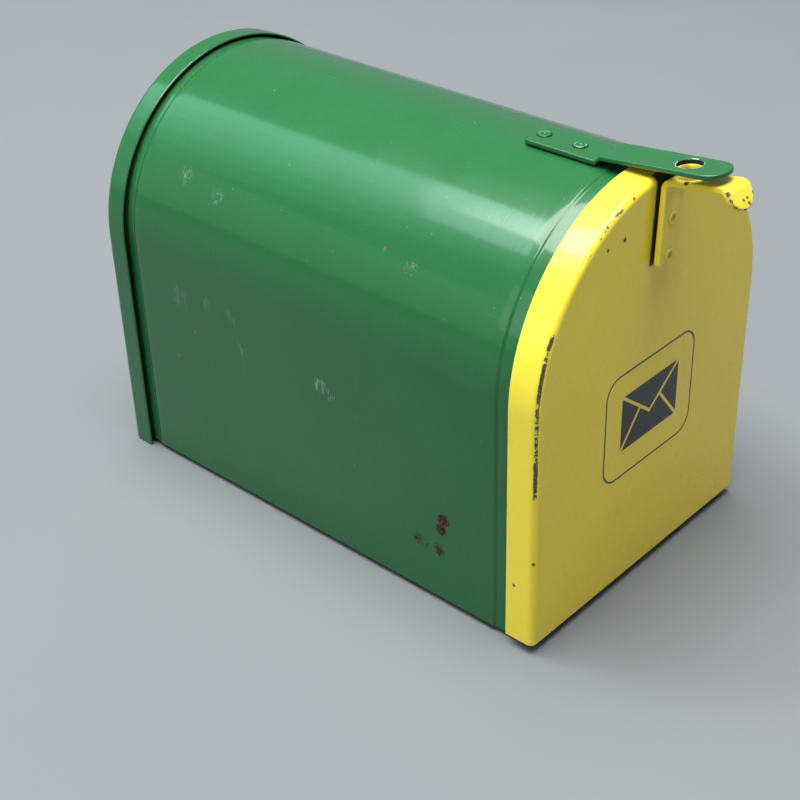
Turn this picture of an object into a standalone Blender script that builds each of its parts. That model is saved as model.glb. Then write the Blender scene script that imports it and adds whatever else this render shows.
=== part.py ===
"""A miniature rural post box in painted sheet steel, in metres, +Z up.

The door faces -Y and the flag hangs on the +X side. The origin is the centre of the floor pan's flat
underside, on which the box stands. The arched body is closed by a pressed back panel and by a door that
hinges on a wire pin along the front of the floor pan. A sprung strap on the crown of the body reaches over
the door's pull handle, and both are pierced for a small padlock.
"""

import math

import bmesh
import bpy
from mathutils import Matrix, Vector

MM = 0.001

# Overall size, from the door's face to the back panel's face, over the door's flange, and to its crown.
LENGTH = 133.4 * MM
HALF_WIDTH = 40.0 * MM
SPRING_Z = 60.0 * MM
FRONT_Y = -LENGTH / 2
BACK_Y = LENGTH / 2

SHEET = 0.6 * MM
SHEET_GAP = 0.4 * MM
SEAT_GAP = 0.1 * MM
BEND_RADIUS = 1.5 * MM
ARCH_STEPS = 36
BEND_STEPS = 4
ROUND_STEPS = 20

# The body wrap. It necks in near both ends, so that the door and the back panel slip over it.
BODY_HALF_WIDTH = 38.9 * MM
BODY_BOTTOM_Z = 1.6 * MM
NECK_DROP = 0.35 * MM
NECK_RAMP = 0.7 * MM
BODY_FRONT_INSET = 3.8 * MM
FRONT_NECK = 11.6 * MM
REAR_NECK = 9.6 * MM

# The door and the back panel, pressed pans with a bent flange.
DOOR_BOTTOM_Z = 2.6 * MM
DOOR_FLANGE = 7.5 * MM
BACK_FLANGE = 6.4 * MM
BACK_SPRING_DROP = 0.3 * MM

# The floor pan, a channel whose side walls carry the hinge pin.
PAN_HALF_WIDTH = 37.5 * MM
PAN_WALL = 8.0 * MM
PAN_BEND = 1.4 * MM
EAR_RADIUS = 1.9 * MM
PAN_START = 1.7 * MM

# The door hinge.
HINGE_INSET = 3.6 * MM
HINGE_Z = 4.25 * MM
PIN_RADIUS = 0.82 * MM
PIN_HALF_LENGTH = 37.3 * MM
KNUCKLE_INNER = 0.9 * MM
KNUCKLE_WIDTH = 9.0 * MM
KNUCKLE_X = 23.0 * MM
CURL_DEGREES = 300.0

# The latch strap: a flat tail on the crown, a step, then a rising tongue over the handle.
STRAP_WIDTH = 8.7 * MM
STRAP_THICK = 1.1 * MM
STRAP_TAIL = 33.0 * MM
STRAP_STEP = 14.5 * MM
STRAP_STEP_RUN = 1.6 * MM
STRAP_STEP_RISE = 1.35 * MM
STRAP_SLOPE = 0.109
STRAP_REACH = 14.3 * MM
STRAP_TAIL_CORNER = 1.8 * MM
STRAP_TIP_CORNER = 4.0 * MM
STRAP_RIVETS = (("strap_rivet_rear", 30.3 * MM), ("strap_rivet_front", 21.0 * MM))
PADLOCK_Y = 5.4 * MM
STRAP_HOLE_RADIUS = 2.6 * MM

# The pull handle: a leg riveted to the door, a tongue under the strap and a round finger tab bent down.
# The leg leans a little sideways, by HANDLE_LEAN for each unit of height.
HANDLE_X = 0.8 * MM
HANDLE_LEAN = 0.055
HANDLE_WIDTH = 6.8 * MM
HANDLE_THICK = 1.5 * MM
HANDLE_STANDOFF = 0.7 * MM
HANDLE_FOOT_Z = 80.7 * MM
HANDLE_FOOT_CORNER = 0.8 * MM
HANDLE_TOP_Z = 100.2 * MM
HANDLE_BEND = 2.5 * MM
HANDLE_SLOPE = 0.15
HANDLE_TONGUE = 11.6 * MM
TAB_BEND = 2.3 * MM
TAB_TILT_DEGREES = 56.0
TAB_RADIUS = 3.9 * MM
TAB_CENTRE = 0.1 * MM
TAB_NOSE = 0.6 * MM
HANDLE_HOLE_RADIUS = 2.2 * MM
HANDLE_RIVETS = (("handle_rivet_upper", 90.8 * MM), ("handle_rivet_lower", 82.6 * MM))

# Rivets: a shank, a low head with a dish in it and a formed head behind the sheet.
RIVET_SHANK = 0.8 * MM
RIVET_HEAD = 1.5 * MM
RIVET_HEIGHT = 0.18 * MM
RIVET_DISH = 0.28 * MM
RIVET_DISH_FLOOR = 0.55 * MM
RIVET_DISH_RIM = 1.0 * MM
RIVET_SHOULDER = 1.35 * MM
RIVET_TAIL_HEIGHT = 0.6 * MM
RIVET_TAIL_END = 0.9 * MM
RIVET_BORE = RIVET_SHANK + SEAT_GAP

# The signal flag, lowered: the arm runs back along the +X side and the blade hangs from its end.
FLAG_PIVOT_INSET = 24.0 * MM
FLAG_PIVOT_Z = 50.0 * MM
FLAG_THICK = 0.8 * MM
FLAG_ARM = 62.0 * MM
FLAG_HALF_WIDTH = 2.6 * MM
FLAG_HUB_RADIUS = 4.2 * MM
FLAG_BLADE_LENGTH = 20.0 * MM
FLAG_BLADE_DEPTH = 15.0 * MM
FLAG_CORNER = 1.6 * MM
FLAG_SHANK = 1.2 * MM
FLAG_HOLE = 1.28 * MM
FLAG_HEAD = 2.9 * MM
FLAG_HEAD_HEIGHT = 0.9 * MM
WASHER_RADIUS = 3.2 * MM
WASHER_THICK = 0.3 * MM

COLOURS = {
    "green_enamel": ((0.045, 0.235, 0.085), 0.28, 0.0),
    "yellow_enamel": ((0.79, 0.60, 0.055), 0.32, 0.0),
    "red_enamel": ((0.52, 0.03, 0.022), 0.32, 0.0),
    "zinc_steel": ((0.52, 0.53, 0.54), 0.4, 1.0),
}


def material(name):
    """The named finish as a Principled material, made once."""
    found = bpy.data.materials.get(name)
    if found:
        return found
    colour, roughness, metallic = COLOURS[name]
    made = bpy.data.materials.new(name)
    made.use_nodes = True
    shader = made.node_tree.nodes["Principled BSDF"]
    shader.inputs["Base Color"].default_value = (*colour, 1.0)
    shader.inputs["Roughness"].default_value = roughness
    shader.inputs["Metallic"].default_value = metallic
    return made


def finish_object(name, bm, finish, origin=(0.0, 0.0, 0.0)):
    """Turns world-space geometry into an object whose origin is at the given point."""
    bmesh.ops.recalc_face_normals(bm, faces=bm.faces)
    bmesh.ops.translate(bm, verts=bm.verts, vec=[-value for value in origin])
    mesh = bpy.data.meshes.new(name)
    bm.to_mesh(mesh)
    bm.free()
    mesh.shade_smooth()
    mesh.set_sharp_from_angle(angle=math.radians(30))
    obj = bpy.data.objects.new(name, mesh)
    obj.location = origin
    bpy.context.scene.collection.objects.link(obj)
    if finish:
        mesh.materials.append(material(finish))
    return obj


def hide_helper(obj):
    """Marks a cutter or a joined tool, which is no part of the box."""
    obj.hide_render = True
    obj.display_type = "WIRE"
    return obj


def boolean(obj, tool, operation):
    step = obj.modifiers.new(f"{operation.lower()} {tool.name}", "BOOLEAN")
    step.operation = operation
    step.object = tool
    step.solver = "EXACT"


def arc(centre, radius, start, end, steps):
    """Points on an arc, with angles in degrees measured from the first axis to the second."""
    points = []
    for step in range(steps + 1):
        angle = math.radians(start + (end - start) * step / steps)
        points.append((centre[0] + radius * math.cos(angle), centre[1] + radius * math.sin(angle)))
    return points


def arch_path(half_width, spring_z, bottom_z):
    """The arch outline in the XZ plane, from its lower -X end over the crown to its lower +X end."""
    points = [(-half_width, bottom_z)]
    points += arc((0.0, spring_z), half_width, 180.0, 0.0, ARCH_STEPS)
    points.append((half_width, bottom_z))
    return points


def sweep_arch(bm, profile, half_width, spring_z, bottom_z, closed):
    """Sweeps a sheet profile of (inset, y) points along the arch and returns its rows of vertices."""
    outlines = [arch_path(half_width - inset, spring_z, bottom_z) for inset, _ in profile]
    rows = []
    for index in range(len(outlines[0])):
        rows.append([
            bm.verts.new((outline[index][0], y, outline[index][1]))
            for outline, (_, y) in zip(outlines, profile)
        ])
    count = len(profile)
    for row, following in zip(rows, rows[1:]):
        for first in range(count if closed else count - 1):
            second = (first + 1) % count
            bm.faces.new((row[first], row[second], following[second], following[first]))
    return rows


def extrude_outline(bm, points, place, depth):
    """A prism: 2D points placed by a function of (u, v, w), with w running from 0 to depth."""
    low = [bm.verts.new(place(u, v, 0.0)) for u, v in points]
    high = [bm.verts.new(place(u, v, depth)) for u, v in points]
    bm.faces.new(low)
    bm.faces.new(high)
    for index in range(len(points)):
        following = (index + 1) % len(points)
        bm.faces.new((low[index], low[following], high[following], high[index]))


def turned(bm, profile, place):
    """A solid of revolution from (radius, height) points, whose first and last radius is zero."""
    rings = []
    for radius, height in profile[1:-1]:
        rings.append([
            bm.verts.new(place(radius * math.cos(turn), radius * math.sin(turn), height))
            for turn in (2 * math.pi * step / ROUND_STEPS for step in range(ROUND_STEPS))
        ])
    ends = [bm.verts.new(place(0.0, 0.0, profile[index][1])) for index in (0, -1)]
    for step in range(ROUND_STEPS):
        following = (step + 1) % ROUND_STEPS
        bm.faces.new((ends[0], rings[0][step], rings[0][following]))
        bm.faces.new((ends[1], rings[-1][following], rings[-1][step]))
        for ring, outer in zip(rings, rings[1:]):
            bm.faces.new((ring[step], outer[step], outer[following], ring[following]))


def cylinder_tool(name, radius, start, end):
    """A helper cylinder between two points, for drilling."""
    axis = [b - a for a, b in zip(start, end)]
    length = math.sqrt(sum(value * value for value in axis))
    bm = bmesh.new()
    bmesh.ops.create_cone(
        bm, cap_ends=True, segments=ROUND_STEPS, radius1=radius, radius2=radius, depth=length
    )
    turn = Vector(axis).to_track_quat("Z", "Y").to_matrix().to_4x4()
    bmesh.ops.transform(bm, matrix=turn, verts=bm.verts)
    middle = [(a + b) / 2 for a, b in zip(start, end)]
    bmesh.ops.translate(bm, verts=bm.verts, vec=middle)
    return hide_helper(finish_object(name, bm, None))


def box_tool(name, low, high):
    """A helper block between two corners."""
    bm = bmesh.new()
    bmesh.ops.create_cube(bm, size=1.0)
    bmesh.ops.scale(bm, verts=bm.verts, vec=[b - a for a, b in zip(low, high)])
    bmesh.ops.translate(bm, verts=bm.verts, vec=[(a + b) / 2 for a, b in zip(low, high)])
    return hide_helper(finish_object(name, bm, None))


def body_shell():
    """The wrapped body, open below and at both ends."""
    front = FRONT_Y + BODY_FRONT_INSET
    rear = BACK_Y - SHEET - SHEET_GAP
    stations = (
        (NECK_DROP, front),
        (NECK_DROP, FRONT_Y + FRONT_NECK - NECK_RAMP),
        (0.0, FRONT_Y + FRONT_NECK),
        (0.0, BACK_Y - REAR_NECK),
        (NECK_DROP, BACK_Y - REAR_NECK + NECK_RAMP),
        (NECK_DROP, rear),
    )
    profile = list(stations) + [(inset + SHEET, y) for inset, y in reversed(stations)]
    bm = bmesh.new()
    rows = sweep_arch(bm, profile, BODY_HALF_WIDTH, SPRING_Z, BODY_BOTTOM_Z, closed=True)
    bm.faces.new(rows[0])
    bm.faces.new(rows[-1])
    shell = finish_object("body_shell", bm, "green_enamel")
    crown = SPRING_Z + BODY_HALF_WIDTH
    for name, inset in STRAP_RIVETS:
        y = FRONT_Y + inset
        drill = cylinder_tool(
            f"drill_{name}", RIVET_BORE, (0, y, crown - 3 * MM), (0, y, crown + 3 * MM)
        )
        boolean(shell, drill, "DIFFERENCE")
    y = FRONT_Y + FLAG_PIVOT_INSET
    drill = cylinder_tool(
        "drill_flag_pivot",
        FLAG_SHANK + SEAT_GAP,
        (BODY_HALF_WIDTH - 3 * MM, y, FLAG_PIVOT_Z),
        (BODY_HALF_WIDTH + 3 * MM, y, FLAG_PIVOT_Z),
    )
    boolean(shell, drill, "DIFFERENCE")
    return shell


def pressed_pan(name, finish, face_y, inward, flange, spring_z, bottom_z, origin):
    """A flat arched face with a bent flange. The flange runs from the face in the inward direction."""
    outer = [
        (BEND_RADIUS - u, face_y + inward * (BEND_RADIUS - v))
        for v, u in arc((0.0, 0.0), BEND_RADIUS, 0.0, 90.0, BEND_STEPS)
    ]
    inner_radius = BEND_RADIUS - SHEET
    inner = [
        (BEND_RADIUS - u, face_y + inward * (BEND_RADIUS - v))
        for v, u in arc((0.0, 0.0), inner_radius, 90.0, 0.0, BEND_STEPS)
    ]
    edge_y = face_y + inward * flange
    profile = outer + [(0.0, edge_y), (SHEET, edge_y)] + inner
    bm = bmesh.new()
    rows = sweep_arch(bm, profile, HALF_WIDTH, spring_z, bottom_z, closed=False)
    bm.faces.new([row[0] for row in rows])
    bm.faces.new([row[-1] for row in rows])
    bm.faces.new(rows[0] + rows[-1][::-1])
    return finish_object(name, bm, finish, origin)


def back_panel():
    return pressed_pan(
        "back_panel",
        "green_enamel",
        BACK_Y,
        -1.0,
        BACK_FLANGE,
        SPRING_Z - BACK_SPRING_DROP,
        0.0,
        (0.0, BACK_Y, 0.0),
    )


def hinge_point(x=0.0):
    return (x, FRONT_Y + HINGE_INSET, HINGE_Z)


def hinge_curl(side):
    """A tab that runs back from the door's foot and curls round the hinge pin."""
    _, pin_y, pin_z = hinge_point()
    tab_start = FRONT_Y + SHEET / 2
    outer_radius = KNUCKLE_INNER + SHEET
    outer = [(tab_start, pin_z - outer_radius)]
    outer += arc((pin_y, pin_z), outer_radius, -90.0, CURL_DEGREES - 90.0, ROUND_STEPS)
    inner = arc((pin_y, pin_z), KNUCKLE_INNER, CURL_DEGREES - 90.0, -90.0, ROUND_STEPS)
    inner += [(tab_start, pin_z - KNUCKLE_INNER)]
    low = side * KNUCKLE_X - KNUCKLE_WIDTH / 2
    bm = bmesh.new()
    extrude_outline(bm, outer + inner, lambda y, z, x: (low + x, y, z), KNUCKLE_WIDTH)
    return hide_helper(finish_object(f"hinge_curl_{'left' if side < 0 else 'right'}", bm, None))


def door_panel():
    """The door, with its origin on the hinge axis."""
    door = pressed_pan(
        "door_panel",
        "yellow_enamel",
        FRONT_Y,
        1.0,
        DOOR_FLANGE,
        SPRING_Z,
        DOOR_BOTTOM_Z,
        hinge_point(),
    )
    for side in (-1, 1):
        boolean(door, hinge_curl(side), "UNION")
    for name, z in HANDLE_RIVETS:
        start, end = handle_rivet_line(z)
        boolean(door, cylinder_tool(f"drill_{name}", RIVET_BORE, start, end), "DIFFERENCE")
    return door


def floor_pan():
    """A channel with two side walls. Their front ends are ears for the hinge pin."""
    _, pin_y, pin_z = hinge_point()
    outer_corner = (PAN_HALF_WIDTH - PAN_BEND, PAN_BEND)
    right = arc(outer_corner, PAN_BEND, -90.0, 0.0, BEND_STEPS) + [(PAN_HALF_WIDTH, PAN_WALL)]
    right += [(PAN_HALF_WIDTH - SHEET, PAN_WALL)]
    right += arc(outer_corner, PAN_BEND - SHEET, 0.0, -90.0, BEND_STEPS)
    left = [(-x, z) for x, z in reversed(right)]
    start = pin_y - EAR_RADIUS
    length = BACK_Y - SHEET - SHEET_GAP - start
    bm = bmesh.new()
    extrude_outline(bm, right + left, lambda x, z, y: (x, start + y, z), length)
    pan = finish_object("floor_pan", bm, "zinc_steel")
    notch = box_tool(
        "notch_floor_front",
        (-HALF_WIDTH, start - MM, -MM),
        (HALF_WIDTH, pin_y + PAN_START, pin_z - EAR_RADIUS),
    )
    boolean(pan, notch, "DIFFERENCE")
    drill = cylinder_tool(
        "drill_hinge_pin", PIN_RADIUS + SEAT_GAP / 2, (-HALF_WIDTH, pin_y, pin_z), (HALF_WIDTH, pin_y, pin_z)
    )
    boolean(pan, drill, "DIFFERENCE")
    return pan


def hinge_pin():
    """A straight steel wire through the ears of the floor pan and the curls of the door."""
    end_round = 0.2 * MM
    profile = [
        (0.0, -PIN_HALF_LENGTH),
        (PIN_RADIUS - end_round, -PIN_HALF_LENGTH),
        (PIN_RADIUS, -PIN_HALF_LENGTH + end_round),
        (PIN_RADIUS, PIN_HALF_LENGTH - end_round),
        (PIN_RADIUS - end_round, PIN_HALF_LENGTH),
        (0.0, PIN_HALF_LENGTH),
    ]
    centre = hinge_point()
    bm = bmesh.new()
    turned(bm, profile, lambda u, v, w: (centre[0] + w, centre[1] + u, centre[2] + v))
    return finish_object("hinge_pin", bm, "zinc_steel", centre)


def loft_bar(bm, stations):
    """A flat bar from stations of (centre x, top point, bottom point, half width), points in YZ."""
    sections = []
    for x, (top_y, top_z), (low_y, low_z), half in stations:
        sections.append([
            bm.verts.new((x - half, top_y, top_z)),
            bm.verts.new((x + half, top_y, top_z)),
            bm.verts.new((x + half, low_y, low_z)),
            bm.verts.new((x - half, low_y, low_z)),
        ])
    for section, following in zip(sections, sections[1:]):
        for first in range(4):
            second = (first + 1) % 4
            bm.faces.new((section[first], section[second], following[second], following[first]))
    bm.faces.new(sections[0])
    bm.faces.new(sections[-1])


def strap_top_z(distance):
    """Height of the strap's top at a distance behind the door's face."""
    tail_z = SPRING_Z + BODY_HALF_WIDTH + SHEET_GAP / 2 + STRAP_THICK
    if distance >= STRAP_STEP:
        return tail_z
    run = min(STRAP_STEP - distance, STRAP_STEP_RUN) / STRAP_STEP_RUN
    step = STRAP_STEP_RISE * run * run * (3 - 2 * run)
    return tail_z + step + max(0.0, STRAP_STEP - STRAP_STEP_RUN - distance) * STRAP_SLOPE


def latch_strap():
    """The sprung strap. Its outline has rounded corners, and its padlock hole lies over the handle's."""
    half = STRAP_WIDTH / 2
    plan = [
        (STRAP_TAIL - STRAP_TAIL_CORNER + v, half - STRAP_TAIL_CORNER + u)
        for v, u in arc((0.0, 0.0), STRAP_TAIL_CORNER, 0.0, 90.0, BEND_STEPS)
    ]
    for step in range(BEND_STEPS + 2):
        plan.append((STRAP_STEP - STRAP_STEP_RUN * step / (BEND_STEPS + 1), half))
    plan += [
        (-STRAP_REACH + STRAP_TIP_CORNER - v, half - STRAP_TIP_CORNER + u)
        for v, u in arc((0.0, 0.0), STRAP_TIP_CORNER, 90.0, 0.0, 2 * BEND_STEPS)
    ]
    stations = []
    for distance, width in plan:
        y = FRONT_Y + distance
        z = strap_top_z(distance)
        stations.append((0.0, (y, z), (y, z - STRAP_THICK), width))
    bm = bmesh.new()
    loft_bar(bm, stations)
    strap = finish_object("latch_strap", bm, "green_enamel", (0.0, FRONT_Y, SPRING_Z + BODY_HALF_WIDTH))
    holes = [(name, inset, RIVET_BORE) for name, inset in STRAP_RIVETS]
    holes.append(("padlock", -PADLOCK_Y, STRAP_HOLE_RADIUS))
    for name, distance, radius in holes:
        z = strap_top_z(distance)
        y = FRONT_Y + distance
        drill = cylinder_tool(f"pierce_{name}", radius, (0, y, z - 4 * MM), (0, y, z + 3 * MM))
        boolean(strap, drill, "DIFFERENCE")
    return strap


def rivet(name, finish, place, stack, shoulder=0.0):
    """A dished rivet. Height 0 is the outer face it clamps, and it holds a stack of that thickness."""
    top = SEAT_GAP + RIVET_HEIGHT
    tail = -stack - SEAT_GAP
    profile = [
        (0.0, top - RIVET_DISH),
        (RIVET_DISH_FLOOR, top - RIVET_DISH),
        (RIVET_DISH_RIM, top),
        (RIVET_SHOULDER, top),
        (RIVET_HEAD, SEAT_GAP + RIVET_HEIGHT / 2),
        (RIVET_HEAD, SEAT_GAP),
        (RIVET_SHANK, SEAT_GAP),
    ]
    if shoulder:
        low = tail + SHEET + 2 * SEAT_GAP
        high = low + shoulder - 2 * SEAT_GAP
        profile += [(RIVET_SHANK, high), (RIVET_SHOULDER, high), (RIVET_SHOULDER, low), (RIVET_SHANK, low)]
    profile += [
        (RIVET_SHANK, tail),
        (RIVET_HEAD, tail),
        (RIVET_HEAD, tail - RIVET_TAIL_HEIGHT / 2),
        (RIVET_TAIL_END, tail - RIVET_TAIL_HEIGHT),
        (0.0, tail - RIVET_TAIL_HEIGHT),
    ]
    bm = bmesh.new()
    turned(bm, profile, place)
    return finish_object(name, bm, finish, place(0.0, 0.0, 0.0))


def strap_rivets():
    """Two rivets through the strap's tail and the crown of the body."""
    stack = STRAP_THICK + SHEET_GAP / 2 + SHEET
    for name, distance in STRAP_RIVETS:
        y = FRONT_Y + distance
        z = strap_top_z(distance)
        rivet(name, "green_enamel", lambda u, v, w, y=y, z=z: (u, y + v, z + w), stack)


def handle_x(z):
    """The handle's centre plane at a height: the leg leans, and the tongue runs straight."""
    return HANDLE_X + HANDLE_LEAN * min(0.0, z - HANDLE_TOP_Z)


def handle_rivet_line(z):
    """The line to drill for a handle rivet, from in front of the handle to behind the door."""
    x = handle_x(z)
    return (x, FRONT_Y - 6 * MM, z), (x, FRONT_Y + 3 * MM, z)


def handle_runs():
    """The handle's middle line in YZ, from the foot up, as runs of (length, turn in radians)."""
    slope = math.atan(HANDLE_SLOPE)
    upper_turn = math.pi / 2 - slope
    tab_turn = slope + math.radians(TAB_TILT_DEGREES)
    tab = TAB_CENTRE + math.sqrt(TAB_RADIUS**2 - TAB_NOSE**2)
    return (
        (HANDLE_TOP_Z - HANDLE_BEND - HANDLE_FOOT_Z, 0.0),
        ((HANDLE_BEND - HANDLE_THICK / 2) * upper_turn, upper_turn),
        (HANDLE_TONGUE, 0.0),
        ((TAB_BEND - HANDLE_THICK / 2) * tab_turn, tab_turn),
        (tab, 0.0),
    )


def handle_point(distance):
    """Where the middle line is at a distance from the foot, as (y, z, heading), with heading 0 up."""
    y = FRONT_Y - HANDLE_STANDOFF - HANDLE_THICK / 2
    z = HANDLE_FOOT_Z
    heading = 0.0
    for length, turn in handle_runs():
        step = min(distance, length)
        distance -= step
        if turn == 0.0:
            y -= step * math.sin(heading)
            z += step * math.cos(heading)
        else:
            radius = length / turn
            start = heading
            heading += step / radius
            y += radius * (math.cos(heading) - math.cos(start))
            z += radius * (math.sin(heading) - math.sin(start))
    return y, z, heading


def handle_half_width(distance, tab_centre):
    """Half the handle's width: rounded corners at the foot, then straight, then the round tab."""
    half = HANDLE_WIDTH / 2
    if distance < HANDLE_FOOT_CORNER:
        drop = HANDLE_FOOT_CORNER - distance
        return half - HANDLE_FOOT_CORNER + math.sqrt(HANDLE_FOOT_CORNER**2 - drop**2)
    if distance > tab_centre - math.sqrt(TAB_RADIUS**2 - half**2):
        return math.sqrt(TAB_RADIUS**2 - (distance - tab_centre) ** 2)
    return half


def door_handle():
    """The pull handle, a flat bar bent along its middle line. It stands off the door."""
    runs = handle_runs()
    ends = [sum(length for length, _ in runs[:count]) for count in range(len(runs) + 1)]
    tab_centre = ends[4] + TAB_CENTRE
    join = math.degrees(math.acos(math.sqrt(TAB_RADIUS**2 - HANDLE_WIDTH**2 / 4) / TAB_RADIUS))
    nose = 180.0 - math.degrees(math.asin(TAB_NOSE / TAB_RADIUS))
    places = [HANDLE_FOOT_CORNER - v for v, _ in arc((0, 0), HANDLE_FOOT_CORNER, 0.0, 90.0, BEND_STEPS)]
    places += [ends[1] + (ends[2] - ends[1]) * step / (2 * BEND_STEPS) for step in range(2 * BEND_STEPS + 1)]
    places.append(ends[3])
    places += [tab_centre - v for v, _ in arc((0, 0), TAB_RADIUS, join, nose, 5 * BEND_STEPS)]
    stations = []
    for place in places:
        y, z, heading = handle_point(place)
        across = (math.cos(heading) * HANDLE_THICK / 2, math.sin(heading) * HANDLE_THICK / 2)
        half = handle_half_width(place, tab_centre)
        stations.append((handle_x(z), (y + across[0], z + across[1]), (y - across[0], z - across[1]), half))
    bm = bmesh.new()
    loft_bar(bm, stations)
    handle = finish_object("door_handle", bm, "yellow_enamel", hinge_point())
    for name, z in HANDLE_RIVETS:
        start, end = handle_rivet_line(z)
        boolean(handle, cylinder_tool(f"bore_{name}", RIVET_BORE, start, end), "DIFFERENCE")
    y = FRONT_Y - PADLOCK_Y
    drill = cylinder_tool(
        "pierce_handle_padlock",
        HANDLE_HOLE_RADIUS,
        (HANDLE_X, y, HANDLE_TOP_Z - 4 * MM),
        (HANDLE_X, y, HANDLE_TOP_Z + 4 * MM),
    )
    boolean(handle, drill, "DIFFERENCE")
    return handle


def handle_rivets():
    """Two shouldered rivets through the handle's leg and the door's face."""
    stack = HANDLE_THICK + HANDLE_STANDOFF + SHEET
    front = FRONT_Y - HANDLE_STANDOFF - HANDLE_THICK
    for name, z in HANDLE_RIVETS:
        x = handle_x(z)
        rivet(
            name,
            "yellow_enamel",
            lambda u, v, w, x=x, z=z: (x + u, front - w, z + v),
            stack,
            HANDLE_STANDOFF,
        )


def flag_plane_x():
    """The flag's inner face, outside the spring washer."""
    return BODY_HALF_WIDTH + 2 * SEAT_GAP + WASHER_THICK + SEAT_GAP


def flag_pivot(x=0.0):
    return (x, FRONT_Y + FLAG_PIVOT_INSET, FLAG_PIVOT_Z)


def flag():
    """The flag, one flat stamping, lowered. Its origin is on the pivot axis."""
    arm_end = FLAG_ARM
    blade_start = arm_end - FLAG_BLADE_LENGTH
    top = FLAG_HALF_WIDTH
    bottom = top - FLAG_BLADE_DEPTH
    fillet = FLAG_CORNER
    neck = math.degrees(math.asin(FLAG_HALF_WIDTH / FLAG_HUB_RADIUS))
    points = arc((0.0, 0.0), FLAG_HUB_RADIUS, neck, 360.0 - neck, ROUND_STEPS)
    points += arc((blade_start - fillet, -top - fillet), fillet, 90.0, 0.0, BEND_STEPS)
    points += arc((blade_start + fillet, bottom + fillet), fillet, 180.0, 270.0, BEND_STEPS)
    points += arc((arm_end - fillet, bottom + fillet), fillet, 270.0, 360.0, BEND_STEPS)
    points += arc((arm_end - fillet, top - fillet), fillet, 0.0, 90.0, BEND_STEPS)
    x, y, z = flag_pivot(flag_plane_x())
    bm = bmesh.new()
    extrude_outline(bm, points, lambda u, v, w: (x + w, y + u, z + v), FLAG_THICK)
    plate = finish_object("flag", bm, "red_enamel", (x, y, z))
    drill = cylinder_tool("drill_flag", FLAG_HOLE, (x - 2 * MM, y, z), (x + 3 * MM, y, z))
    boolean(plate, drill, "DIFFERENCE")
    return plate


def flag_pivot_rivet():
    """The domed rivet on which the flag turns."""
    outer = flag_plane_x() + FLAG_THICK + SEAT_GAP
    inner = BODY_HALF_WIDTH - SHEET - SEAT_GAP
    dome = [
        (FLAG_HEAD * math.sin(math.radians(angle)), outer + FLAG_HEAD_HEIGHT * math.cos(math.radians(angle)))
        for angle in (0, 30, 60, 90)
    ]
    profile = dome + [
        (FLAG_SHANK, outer),
        (FLAG_SHANK, inner),
        (FLAG_HEAD * 0.8, inner),
        (FLAG_HEAD * 0.8, inner - RIVET_TAIL_HEIGHT * 0.5),
        (FLAG_HEAD * 0.5, inner - RIVET_TAIL_HEIGHT),
        (0.0, inner - RIVET_TAIL_HEIGHT),
    ]
    _, y, z = flag_pivot()
    bm = bmesh.new()
    turned(bm, profile, lambda u, v, w: (w, y + u, z + v))
    return finish_object("flag_pivot_rivet", bm, "zinc_steel", flag_pivot(outer))


def flag_spring_washer():
    """The washer between the body and the flag that keeps the flag where it is put."""
    inner_x = BODY_HALF_WIDTH + 2 * SEAT_GAP
    x, y, z = flag_pivot(inner_x)
    bm = bmesh.new()
    outline = arc((0.0, 0.0), WASHER_RADIUS, 0.0, 360.0 - 360.0 / ROUND_STEPS, ROUND_STEPS - 1)
    extrude_outline(bm, outline, lambda u, v, w: (x + w, y + u, z + v), WASHER_THICK)
    washer = finish_object("flag_spring_washer", bm, "zinc_steel", (x, y, z))
    drill = cylinder_tool("drill_washer", FLAG_SHANK + SEAT_GAP, (x - MM, y, z), (x + MM, y, z))
    boolean(washer, drill, "DIFFERENCE")
    return washer


def main():
    for obj in list(bpy.data.objects):
        bpy.data.objects.remove(obj, do_unlink=True)
    body_shell()
    back_panel()
    floor_pan()
    hinge_pin()
    latch_strap()
    strap_rivets()
    flag_pivot_rivet()
    flag_spring_washer()
    door = door_panel()
    handle = door_handle()
    handle_rivets()
    flag()
    for child in (handle, *(bpy.data.objects[name] for name, _ in HANDLE_RIVETS)):
        child.parent = door
        child.matrix_parent_inverse = Matrix.Translation(door.location).inverted()


main()
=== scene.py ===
"""Looks for the miniature post box: finer sheet-metal meshes, worn enamel, a pale studio and the camera."""

import math

import bmesh
import bpy
from mathutils import Matrix, Vector, noise


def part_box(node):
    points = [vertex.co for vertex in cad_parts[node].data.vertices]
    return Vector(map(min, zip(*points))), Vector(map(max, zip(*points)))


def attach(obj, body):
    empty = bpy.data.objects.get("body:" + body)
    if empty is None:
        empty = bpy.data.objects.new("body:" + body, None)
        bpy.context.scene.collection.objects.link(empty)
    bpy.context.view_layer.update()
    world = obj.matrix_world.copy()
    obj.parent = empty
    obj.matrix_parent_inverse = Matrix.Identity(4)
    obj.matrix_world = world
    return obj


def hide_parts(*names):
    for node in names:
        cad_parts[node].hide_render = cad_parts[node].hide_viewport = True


MM = 0.001

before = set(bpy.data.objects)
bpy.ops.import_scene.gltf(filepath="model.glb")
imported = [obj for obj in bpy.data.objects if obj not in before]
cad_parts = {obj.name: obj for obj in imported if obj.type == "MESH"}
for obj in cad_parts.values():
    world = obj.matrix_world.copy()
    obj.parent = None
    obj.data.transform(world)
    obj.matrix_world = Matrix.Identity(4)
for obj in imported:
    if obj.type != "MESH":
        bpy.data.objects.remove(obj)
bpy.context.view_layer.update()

DOOR_LOW, DOOR_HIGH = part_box("door_panel")
BODY_LOW, BODY_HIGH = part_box("body_shell")
BACK_LOW, BACK_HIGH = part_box("back_panel")
STRAP_LOW, STRAP_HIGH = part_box("latch_strap")
HANDLE_LOW, HANDLE_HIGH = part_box("door_handle")
PIN_LOW, PIN_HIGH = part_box("hinge_pin")
FLAG_LOW, FLAG_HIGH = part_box("flag")

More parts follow.
